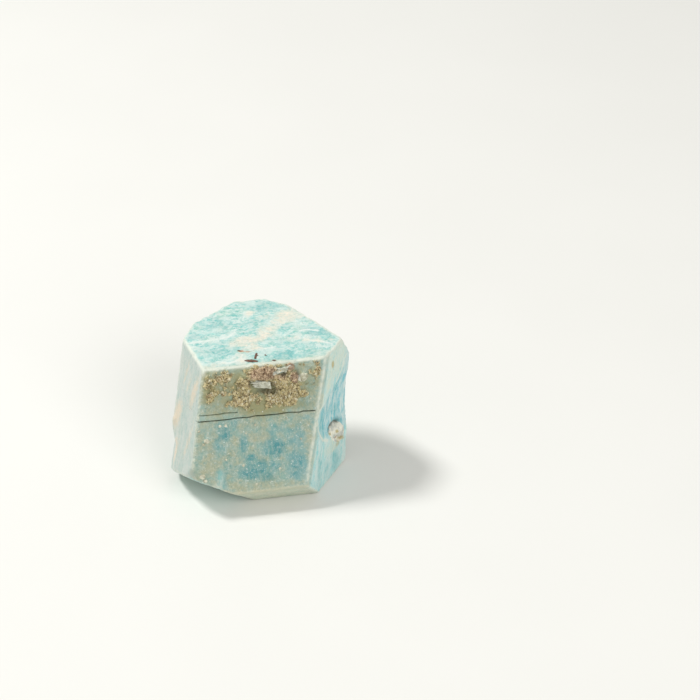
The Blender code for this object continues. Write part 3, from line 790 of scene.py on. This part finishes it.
def amazonite():
    """Blue-green feldspar: veined, paler on its worn edges, and stained on the front."""
    made, tree, shader, place = new_material("amazonite")
    on_front, on_foot, on_left, on_right, in_hollow, crust = (
        tree.attribute(name) for name in ("on_front", "on_foot", "on_left", "on_right", "in_hollow", "crust")
    )

    def torn(name, size, tear, softness):
        """The mark that the mesh keeps under this name, with a torn edge."""
        amount = tree.attribute(name)
        return tree.group(RAGGED, place, Amount=amount, Size=size, Tear=tear, Softness=softness)

    def sheets(width, length, thickness, bend, share, softness):
        """Veins of albite of this size."""
        return tree.group(
            PERTHITE, place, Width=width, Length=length, Thickness=thickness, Bend=bend, Share=share,
            Softness=softness,
        )

    def clouds(scale, detail, low, high, to_low=0.0, to_high=1.0, rough=0.55):
        """Soft clouds of a noise, stepped between two of its values."""
        return tree.ramp(tree.noise(place, scale, detail, rough), low, high, to_low, to_high)

    def tint(share, strength, other):
        """Mixes another colour in by a share of this strength."""
        nonlocal colour
        colour = tree.tint(colour, share, strength, other)

    # The clear stone, bluer in its hollow; painted light makes the right side paler and bluer
    colour = tree.mix(clouds(0.5, 5.0, 0.35, 0.65, rough=0.62), LIGHT_TURQUOISE, TURQUOISE)
    colour = tree.mix(clouds(0.28, 3.0, 0.45, 0.7, 0.0, 0.6), colour, GREEN_TURQUOISE)
    teal = tree.times(torn("teal", 1.5, 1.7, 0.45), clouds(1.1, 6.0, 0.32, 0.62, 0.4, 1.0, rough=0.68))
    tint(teal, 0.85, DEEP_TURQUOISE)
    # Painted light: the right side made paler and bluer than the stone
    tint(on_right, 0.5, RIGHT_SIDE_PAINTED_LIGHT)
    tint(in_hollow, 0.85, HOLLOW_BLUE)
    tint(teal, tree.times(on_right, 0.5), DEEP_TURQUOISE)

    # Its pale veins, which are fainter on the front
    bold = sheets(2.0, 7.0, 1.0, 2.2, 0.48, 0.08)
    fine = sheets(1.0, 4.5, 0.4, 1.0, 0.46, 0.07)
    hair = sheets(0.5, 2.5, 0.18, 0.5, 0.45, 0.1)
    low = tree.line(torn("frosted", 1.2, 1.8, 0.5), -0.14, 0.52)
    frost = tree.ramp(tree.math("SUBTRACT", tree.noise(place, 0.9, 8.0, 0.72), low), 0.0, 0.13)
    lace = tree.group(LACE, place, Size=2.2, Line=0.035)
    veins = tree.times(bold, 0.62)
    for layer, strength in ((fine, 0.7), (hair, 0.45), (lace, 0.6), (frost, 0.75)):
        veins = tree.math("MAXIMUM", veins, tree.times(layer, strength))
    veins = tree.times(veins, tree.line(teal, -0.5, 1.0))
    veins = tree.math("MAXIMUM", veins, tree.times(bold, tree.times(in_hollow, 0.75)))
    veins = tree.times(veins, tree.line(on_front, -0.5, 1.0))
    veins = tree.math("MAXIMUM", veins, tree.times(torn("lines", 0.8, 1.4, 0.45), 0.9))
    colour = tree.mix(veins, colour, ALBITE)

    cream = tree.times(torn("cream", 1.8, 2.2, 0.55), tree.line(fine, 0.35, 0.65))
    pale = tree.mix(on_right, tree.mix(on_front, CREAM, FRONT_CREAM), GREEN_CREAM)
    colour = tree.mix(cream, colour, pale)
    tint(on_left, 0.6, LEFT_GREY)

    # The stained front: a grey-green film that leaves the clearer patches blue
    haze = tree.noise(place, 0.55, 7.0, 0.68)
    film = tree.times(on_front, tree.line(teal, -0.62, 0.88))
    film = tree.times(film, tree.ramp(haze, 0.3, 0.62, 0.65, 1.0))
    stain = tree.mix(tree.ramp(haze, 0.4, 0.62), FRONT_GREY, FRONT_BEIGE)
    colour = tree.mix(film, colour, stain)
    tint(teal, tree.times(on_front, 0.58), FRONT_TEAL)
    tint(torn("deep", 0.9, 2.4, 0.55), 0.6, DARK_TEAL)
    mottle = tree.noise(place, 2.2, 7.0, 0.72)
    stained = tree.line(on_front, 0.55, 0.45)
    tint(stained, tree.ramp(mottle, 0.5, 0.66, 0.0, 0.42), FRONT_PALE)
    tint(stained, tree.ramp(mottle, 0.34, 0.5, 0.45, 0.0), FRONT_DEEP)
    fibre = sheets(0.4, 1.7, 1.0, 1.6, 0.44, 0.1)
    tint(fibre, tree.times(on_front, 0.3), FRONT_PALE)
    scratch = tree.group(LACE, place, Size=0.9, Line=0.03)
    tint(scratch, tree.times(on_front, 0.5), ALBITE)
    tint(torn("olive", 1.6, 1.3, 0.5), 0.8, OLIVE)

    # Crust bed: painted shade in its gaps, painted light on its lumps; painted shadow under the blades
    rubble = tree.line(tree.noise(place, 3.5, 4.0, 0.6), 0.5, tree.attribute("lumps"))
    # Painted light and shade: darker in the gaps between lumps, paler on their tops
    lump_light_and_shade = tree.ramp(rubble, 0.45, 1.0)
    tan = tree.mix(clouds(0.5, 3.0, 0.4, 0.6), KHAKI, OCHRE)
    tint(crust, 0.9, tree.mix(lump_light_and_shade, UMBER, tan))
    tint(torn("pink", 1.0, 0.8, 0.3), 0.8, tree.mix(lump_light_and_shade, PINK_SHADE, PINK))
    white = tree.ramp(tree.attribute("white"), 0.35, 0.6)
    colour = tree.mix(white, colour, tree.mix(lump_light_and_shade, QUARTZ, LUMP_CREAM))
    tint(tree.attribute("shade"), 0.75, SHADE)
    tint(on_foot, 0.6, BUFF)

    # The quartz lump, its stains, the painted shade of the pocket above it, and the rust
    quartz = tree.mix(clouds(0.5, 3.0, 0.42, 0.6), LUMP_WHITE, LUMP_CREAM)
    quartz = tree.mix(clouds(2.0, 5.0, 0.52, 0.66, 0.0, 0.5, rough=0.65), quartz, QUARTZ)
    colour = tree.mix(torn("lump", 0.8, 0.4, 0.15), colour, quartz)
    tint(torn("yellow", 0.5, 0.9, 0.35), 0.8, YELLOW)
    tint(tree.attribute("pocket"), 0.85, POCKET_SHADE)
    tint(torn("rust", 0.5, 0.9, 0.3), 0.75, tree.mix(on_left, RUST, PEACH))

    # Worn edges and specks lie over all of it; painted shade darkens the crevice and the cracks
    # Worn edges, with the hollow's rim as partly painted highlight
    tint(torn("edge", 0.9, 1.1, 0.45), 0.9, WORN_EDGE_AND_HIGHLIGHT)
    bright = tree.group(SPECKS, place, Spacing=0.8, Share=0.12, Size=0.2)
    tint(bright, tree.times(on_front, 0.7), ALBITE)
    dark = tree.group(SPECKS, place, Spacing=1.1, Share=0.1, Size=0.13)
    tint(dark, 0.35, UMBER)
    # Painted shade in the crevice and the cracks, of uneven strength
    depth = clouds(1.2, 2.0, 0.35, 0.6, 0.55, 0.95)
    tint(tree.attribute("crevice"), depth, CREVICE_SHADE)

    grain = tree.group(GRAIN, place, Size=0.45)
    rough = tree.line(on_front, 0.12, tree.ramp(grain, 0.2, 0.7, 0.42, 0.6))
    rough = tree.line(crust, 0.15, rough)
    height = tree.line(veins, 0.25, grain)
    finish(tree, shader, colour, rough, height, 0.5, 0.12)
    shader.inputs["Specular IOR Level"].default_value = 0.4
    return made


def crust_finish():
    """Grains of the crust: each has its own tone, from umber to pale ochre, and pink where they are pink."""
    made, tree, shader, place = new_material("crust grains")
    tone = tree.attribute("tone")
    clump = tree.ramp(tree.noise(place, 0.5, 3.0), 0.4, 0.6)
    colour = tree.mix(clump, KHAKI, tree.mix(tree.ramp(tone, 0.2, 0.55), RUSSET, OCHRE))
    colour = tree.mix(tree.ramp(tone, 0.1, 0.35, 0.65, 0.0), colour, UMBER)
    colour = tree.mix(tree.ramp(tone, 0.7, 0.95), colour, BUFF)
    pink = tree.mix(tree.ramp(tone, 0.1, 0.7), PINK_SHADE, PINK)
    colour = tree.mix(tree.ramp(tree.attribute("pink"), 0.3, 0.7), colour, pink)
    grain = tree.group(GRAIN, place, Size=0.15)
    colour = tree.mix(tree.ramp(grain, 0.3, 0.7, 0.0, 0.45), colour, CREAM)
    # Painted shadow under the blades darkens the grains there too
    colour = tree.tint(colour, tree.attribute("shade"), 0.8, SHADE)
    finish(tree, shader, colour, tree.ramp(grain, 0.2, 0.8, 0.6, 0.85), grain, 0.4, 0.05)
    return made


def crystal_finish(name, shade, light, size):
    """Finish of the blades and nodules: a clear pale stone with its own clouds and grain."""
    made, tree, shader, place = new_material(name)
    cloud = tree.ramp(tree.noise(place, 1 / size, 5.0, 0.6), 0.35, 0.65)
    grain = tree.group(GRAIN, place, Size=0.2)
    veins = tree.group(
        PERTHITE, place, Width=0.8, Length=1.5, Thickness=0.15, Bend=0.3, Share=0.4, Softness=0.15,
    )
    colour = tree.tint(tree.mix(cloud, shade, light), veins, 0.25, ALBITE)
    finish(tree, shader, colour, tree.ramp(grain, 0.2, 0.8, 0.4, 0.7), grain, 0.4, 0.05)
    return made


AMAZONITE = amazonite()
CRUST = crust_finish()
WHITE_ALBITE = crystal_finish("white albite", linear(158, 156, 134), linear(206, 207, 190), 0.8)
CREAM_FELDSPAR = crystal_finish("cream feldspar", linear(160, 157, 130), linear(216, 215, 194), 0.9)
PINK_FELDSPAR = crystal_finish("pink feldspar", linear(112, 90, 68), linear(172, 146, 118), 0.7)
BROWN_INCLUSION = crystal_finish("brown inclusion", linear(76, 42, 28), linear(118, 76, 48), 0.4)

body = piece_of("amazonite_body", stone, AMAZONITE)
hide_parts(NODE)


# Crust of grains


# Layers of grains: how many on a square millimetre, and their smallest and largest radius
CRUST_LAYERS = (("coarse_crust", 3.6, 0.14, 0.38), ("fine_crust", 30.0, 0.07, 0.2))
# Shapes of a grain: its thickness and length, as shares of a ball's
GRAIN_SHAPES = ((0.8, 1.0), (0.7, 1.1), (0.6, 1.3), (0.5, 1.1), (0.9, 0.9))
GRAIN_JITTER = 0.3
# Place of each kind among a random value's outputs
RANDOM_KINDS = {"FLOAT_VECTOR": 0, "FLOAT": 1, "INT": 2}


def random_value(tree, kind, low, high, seed):
    """A random value between two others, for each point or instance."""
    output = RANDOM_KINDS[kind]
    inputs = {2 * output: low, 2 * output + 1: high, "Seed": seed}
    return tree.node("FunctionNodeRandomValue", inputs, data_type=kind).outputs[output]


def crust_tree(material):
    """Scatters grains over a surface, as densely as its crust value says, each with a tone of its own."""
    tree = bpy.data.node_groups.new("crust grains", "GeometryNodeTree")
    tree.interface.new_socket("Stone", in_out="INPUT", socket_type="NodeSocketGeometry")
    for label in ("Grains per Square Millimetre", "Smallest", "Largest"):
        tree.interface.new_socket(label, in_out="INPUT", socket_type="NodeSocketFloat")
    tree.interface.new_socket("Seed", in_out="INPUT", socket_type="NodeSocketInt")
    tree.interface.new_socket("Grains", in_out="OUTPUT", socket_type="NodeSocketGeometry")
    made = Tree(tree)
    given = made.node("NodeGroupInput").outputs
    crust = made.node("GeometryNodeInputNamedAttribute", {"Name": "crust"}, data_type="FLOAT").outputs[0]
    density = made.times(crust, crust)
    density = made.times(density, given["Grains per Square Millimetre"])
    density = made.times(density, 1 / MM ** 2)
    points = made.node("GeometryNodeDistributePointsOnFaces", {
        "Mesh": given["Stone"], "Density": density, "Seed": given["Seed"],
    })
    shapes = made.node("GeometryNodeGeometryToInstance")
    for index, (flat, long) in enumerate(GRAIN_SHAPES):
        ball = made.node("GeometryNodeMeshIcoSphere", {"Radius": MM, "Subdivisions": 1})
        reach = GRAIN_JITTER * MM
        jitter = random_value(made, "FLOAT_VECTOR", (-reach,) * 3, (reach,) * 3, 11 + index)
        rough = made.node("GeometryNodeSetPosition", {"Geometry": ball.outputs["Mesh"], "Offset": jitter})
        sized = made.node("GeometryNodeTransform", {
            "Geometry": rough.outputs[0], "Scale": (long, 0.9, flat),
        })
        made.tree.links.new(sized.outputs[0], shapes.inputs[0])
    turn = random_value(made, "FLOAT_VECTOR", (0.0,) * 3, (2 * math.pi,) * 3, 3)
    size = random_value(made, "FLOAT", given["Smallest"], given["Largest"], 4)
    pick = random_value(made, "INT", 0, len(GRAIN_SHAPES) - 1, 5)
    placed = made.node("GeometryNodeInstanceOnPoints", {
        "Points": points.outputs["Points"], "Instance": shapes.outputs[0], "Pick Instance": True,
        "Instance Index": pick, "Rotation": turn, "Scale": size,
    })
    tone = random_value(made, "FLOAT", 0.0, 1.0, 6)
    toned = made.node("GeometryNodeStoreNamedAttribute", {
        "Geometry": placed.outputs[0], "Name": "tone", "Value": tone,
    }, data_type="FLOAT", domain="INSTANCE")
    real = made.node("GeometryNodeRealizeInstances", {"Geometry": toned.outputs[0]})
    done = made.node("GeometryNodeSetMaterial", {"Geometry": real.outputs[0], "Material": material})
    made.feed(made.node("NodeGroupOutput").inputs["Grains"], done.outputs[0])
    return tree


def grow_crust(name, settings):
    """A layer of grains on the stone, as a piece of its own."""
    bed = object_of(name, stone.copy())
    grown = bed.modifiers.new("grains", "NODES")
    grown.node_group = crust_tree(CRUST)
    sockets = {item.name: item.identifier for item in grown.node_group.interface.items_tree}
    for label, value in settings.items():
        grown[sockets[label]] = value
    piece_of(name, plain_mesh(bed, name), CRUST)


for name, density, smallest, largest in CRUST_LAYERS:
    grow_crust(name, {
        "Grains per Square Millimetre": density, "Smallest": smallest, "Largest": largest, "Seed": SEED,
    })


# Blades, nodules and inclusions


SPLINTER_RINGS = 5
SPLINTER_SIDES = 6
NODULE_ROUGHNESS = 0.09
NODULE_TILT = 20
INCLUSION_LIFT = 0.09
INCLUSION_THICKNESS = 0.14


def splinter(shape, start, end, wide, thin, taper, chance, side=FRONT):
    """A broken prism between two points: its half widths at the start, and the share left at the end."""
    axis = (end - start).normalized()
    out = Vector(side.normal)
    across = axis.cross(out).normalized()
    out = across.cross(axis)
    rings = []
    for station in range(SPLINTER_RINGS):
        share = station / (SPLINTER_RINGS - 1)
        scale = 1 - (1 - taper) * share ** 1.5
        middle = start.lerp(end, share) + out * thin * 0.15 * chance.uniform(-1, 1)
        ring = []
        for corner in range(SPLINTER_SIDES):
            angle = math.tau / SPLINTER_SIDES * corner + 0.3
            reach = scale * chance.uniform(0.82, 1.1)
            offset = across * wide * math.cos(angle) * reach + out * thin * math.sin(angle) * reach
            ring.append(shape.verts.new(middle + offset + axis * wide * 0.35 * chance.uniform(-1, 1)))
        rings.append(ring)
    for ring, following in zip(rings, rings[1:]):
        for corner in range(SPLINTER_SIDES):
            after = (corner + 1) % SPLINTER_SIDES
            shape.faces.new((ring[corner], ring[after], following[after], following[corner]))
    shape.faces.new(rings[0][::-1])
    shape.faces.new(rings[-1])


def nodule(shape, frame_at, radii, rough, chance):
    """A lump with flat facets."""
    made = bmesh.ops.create_icosphere(shape, subdivisions=2, radius=1.0)["verts"]
    for vertex in made:
        vertex.co *= 1 + chance.uniform(-rough, rough)
    bmesh.ops.transform(shape, matrix=frame_at @ Matrix.Diagonal((*radii, 1.0)), verts=made)


# Splinters of the white blades: x, z and lift of both ends, half width and thickness, and share left
BLADES = (
    ((1.35, 24.5, 0.7), (-0.8, 24.95, 0.7), 0.78, 0.55, 0.7),
    ((0.9, 25.05, 0.8), (-1.5, 25.2, 0.75), 0.32, 0.32, 0.5),
    ((-0.3, 25.0, 0.75), (-2.4, 25.3, 0.7), 0.28, 0.26, 0.2),
    ((-0.2, 24.7, 0.75), (-2.1, 24.85, 0.7), 0.3, 0.26, 0.25),
    ((0.4, 24.3, 0.65), (-1.3, 24.4, 0.65), 0.3, 0.26, 0.35),
    ((4.7, 27.0, 0.5), (3.2, 27.25, 0.5), 0.34, 0.34, 0.7),
    ((3.6, 27.35, 0.5), (2.4, 27.4, 0.5), 0.17, 0.18, 0.2),
    ((4.6, 27.0, 0.55), (4.5, 26.5, 0.5), 0.3, 0.25, 0.6),
    ((4.3, 27.15, 0.6), (5.7, 27.8, 0.55), 0.26, 0.26, 0.2),
)
# Nodules: x, z, lift, radius across, radius up and radius out
CREAM_NODULES = (
    (7.95, 25.25, 0.1, 0.75, 0.95, 0.75), (8.6, 25.4, 0.1, 0.45, 0.6, 0.5),
    (2.55, 24.35, 0.1, 0.45, 0.42, 0.4), (-9.85, 25.85, 0.0, 0.5, 0.3, 0.3),
    (-11.9, 15.35, 0.0, 0.65, 0.6, 0.45), (-12.5, 14.75, 0.0, 0.35, 0.3, 0.3),
    (-9.05, 17.85, 0.0, 0.35, 0.3, 0.22), (-7.9, 17.8, 0.0, 0.3, 0.35, 0.2),
    (-3.8, 21.3, 0.1, 0.45, 0.3, 0.3), (9.1, 21.2, 0.0, 0.2, 0.2, 0.15),
    (4.1, 17.95, 0.0, 0.16, 0.2, 0.15), (-13.2, 17.3, 0.0, 0.3, 0.25, 0.2),
    (-2.2, 17.4, 0.0, 0.24, 0.26, 0.16), (-8.4, 11.5, 0.0, 0.26, 0.24, 0.18),
    (6.6, 13.9, 0.0, 0.22, 0.2, 0.16), (-2.8, 6.4, 0.0, 0.32, 0.22, 0.2),
    (-4.1, 16.0, 0.0, 0.2, 0.16, 0.14), (-5.1, 10.1, 0.0, 0.28, 0.26, 0.18),
    (-13.3, 8.8, 0.0, 0.6, 0.5, 0.3), (-12.8, 8.0, 0.0, 0.45, 0.35, 0.25),
    (2.0, 8.8, 0.0, 0.28, 0.24, 0.16),
)
PINK_NODULES = (
    (5.65, 27.4, 0.1, 0.75, 0.65, 0.65), (6.35, 25.4, 0.1, 0.8, 0.75, 0.7),
    (2.0, 27.4, 0.1, 0.6, 0.4, 0.5),
)
# Inclusions on the top: x and y of both ends, half width and share left
TOP_INCLUSIONS = (
    ((-1.6, -5.45), (-2.95, -5.1), 0.52, 0.4), ((-1.8, -5.42), (-0.65, -5.72), 0.52, 0.4),
    ((-0.4, -3.1), (-0.95, -4.8), 0.26, 0.8),
    ((-0.3, -3.9), (-0.65, -3.4), 0.3, 0.5), ((2.3, -5.95), (2.9, -6.05), 0.16, 0.6),
    ((1.1, -3.9), (1.4, -4.2), 0.16, 0.6), ((-3.9, -1.5), (-3.3, -1.75), 0.14, 0.6),
)


def blades():
    """The white blades of the crust."""
    chance = random.Random(SEED)
    shape = bmesh.new()
    for start, end, wide, thin, taper in BLADES:
        splinter(shape, FRONT.at(*start), FRONT.at(*end), wide, thin, taper, chance)
    return mesh_from("albite_blades", shape)


def nodules(name, places):
    """Lumps of the front at these places."""
    chance = random.Random(SEED)
    shape = bmesh.new()
    for x, z, lift, across, high, out in places:
        spot = FRONT.matrix(FRONT.at(x, z, lift), chance.uniform(-NODULE_TILT, NODULE_TILT))
        nodule(shape, spot, (across, high, out), NODULE_ROUGHNESS, chance)
    return mesh_from(name, shape)


def inclusions():
    """Brown inclusions that lie in the top."""
    chance = random.Random(SEED)
    shape = bmesh.new()
    for start, end, wide, taper in TOP_INCLUSIONS:
        first, last = (Vector((*place, HEIGHT + INCLUSION_LIFT)) for place in (start, end))
        splinter(shape, first, last, wide, INCLUSION_THICKNESS, taper, chance, TOP)
    return mesh_from("brown_inclusions", shape)


piece_of("albite_blades", blades(), WHITE_ALBITE)
piece_of("cream_nodules", nodules("cream_nodules", CREAM_NODULES), CREAM_FELDSPAR)
piece_of("pink_nodules", nodules("pink_nodules", PINK_NODULES), PINK_FELDSPAR)
piece_of("brown_inclusions", inclusions(), BROWN_INCLUSION)


# Floor, light and camera

CAMERA_AZIMUTH = -10.4
CAMERA_ELEVATION = 35.0
CAMERA_DISTANCE = 427.8
CAMERA_LENS = 110.0
CAMERA_SENSOR = 36.0
CAMERA_NEAR = 0.01
# The crystal stands left of the picture's centre and below it, by these millimetres
PICTURE_SHIFT = (18.4, 9.6)
CRYSTAL_MIDDLE = Vector((0.0, 0.0, 15.5))

FLOOR_HALF = 3.0
FLOOR_ROUGHNESS = 0.9
WORLD_COLOUR = (1.0, 0.995, 0.975, 1.0)
FLOOR_LIGHT = (0.80, 0.795, 0.755, 1.0)
FLOOR_SHADE = (0.79, 0.785, 0.745, 1.0)
WORLD_LIGHT = 0.48
# Lamps: azimuth and elevation, distance, size and power
LAMPS = (
    ("rear lamp", 152.0, 55.0, 0.8, 0.16, 4.1),
    ("front lamp", -64.0, 38.0, 0.8, 0.5, 2.4),
)

scene = bpy.context.scene
scene.view_settings.view_transform = "Standard"


def photo_camera():
    """The camera of the photo's view."""
    turn, tip = math.radians(CAMERA_AZIMUTH), math.radians(CAMERA_ELEVATION)
    back = Vector((math.sin(turn) * math.cos(tip), -math.cos(turn) * math.cos(tip), math.sin(tip)))
    right = Vector((math.cos(turn), math.sin(turn), 0.0))
    up = back.cross(right)
    camera = object_of("camera", bpy.data.cameras.new("camera"))
    camera.data.lens = CAMERA_LENS
    camera.data.sensor_width = CAMERA_SENSOR
    camera.data.clip_start = CAMERA_NEAR
    spot = CRYSTAL_MIDDLE - Vector(MIDDLE) + back * CAMERA_DISTANCE
    camera.location = (spot + right * PICTURE_SHIFT[0] + up * PICTURE_SHIFT[1]) * MM
    camera.rotation_euler = Matrix((right, up, back)).transposed().to_euler()
    scene.camera = camera


def cream_floor():
    """The pale paper that the crystal stands on."""
    shape = bmesh.new()
    bmesh.ops.create_grid(shape, x_segments=1, y_segments=1, size=FLOOR_HALF)
    mesh = bpy.data.meshes.new("floor")
    shape.to_mesh(mesh)
    shape.free()
    made, tree, shader, place = new_material("cream paper")
    tone = tree.ramp(tree.noise(place, 0.02, 2.0), 0.3, 0.7)
    tree.feed(shader.inputs["Base Color"], tree.mix(tone, FLOOR_SHADE, FLOOR_LIGHT))
    shader.inputs["Roughness"].default_value = FLOOR_ROUGHNESS
    mesh.materials.append(made)
    object_of("floor", mesh)


def studio_light():
    """Even light from all round, with a soft lamp behind and a wide one in front."""
    world = bpy.data.worlds.new("studio")
    scene.world = world
    world.use_nodes = True
    world.node_tree.nodes["Background"].inputs["Color"].default_value = WORLD_COLOUR
    world.node_tree.nodes["Background"].inputs["Strength"].default_value = WORLD_LIGHT
    for name, azimuth, elevation, distance, size, power in LAMPS:
        data = bpy.data.lights.new(name, "AREA")
        data.shape = "DISK"
        data.size = size
        data.energy = power
        lamp = object_of(name, data)
        direction = compass(azimuth, elevation)
        lamp.location = direction * distance
        lamp.rotation_euler = direction.to_track_quat("Z", "Y").to_euler()


photo_camera()
cream_floor()
studio_light()
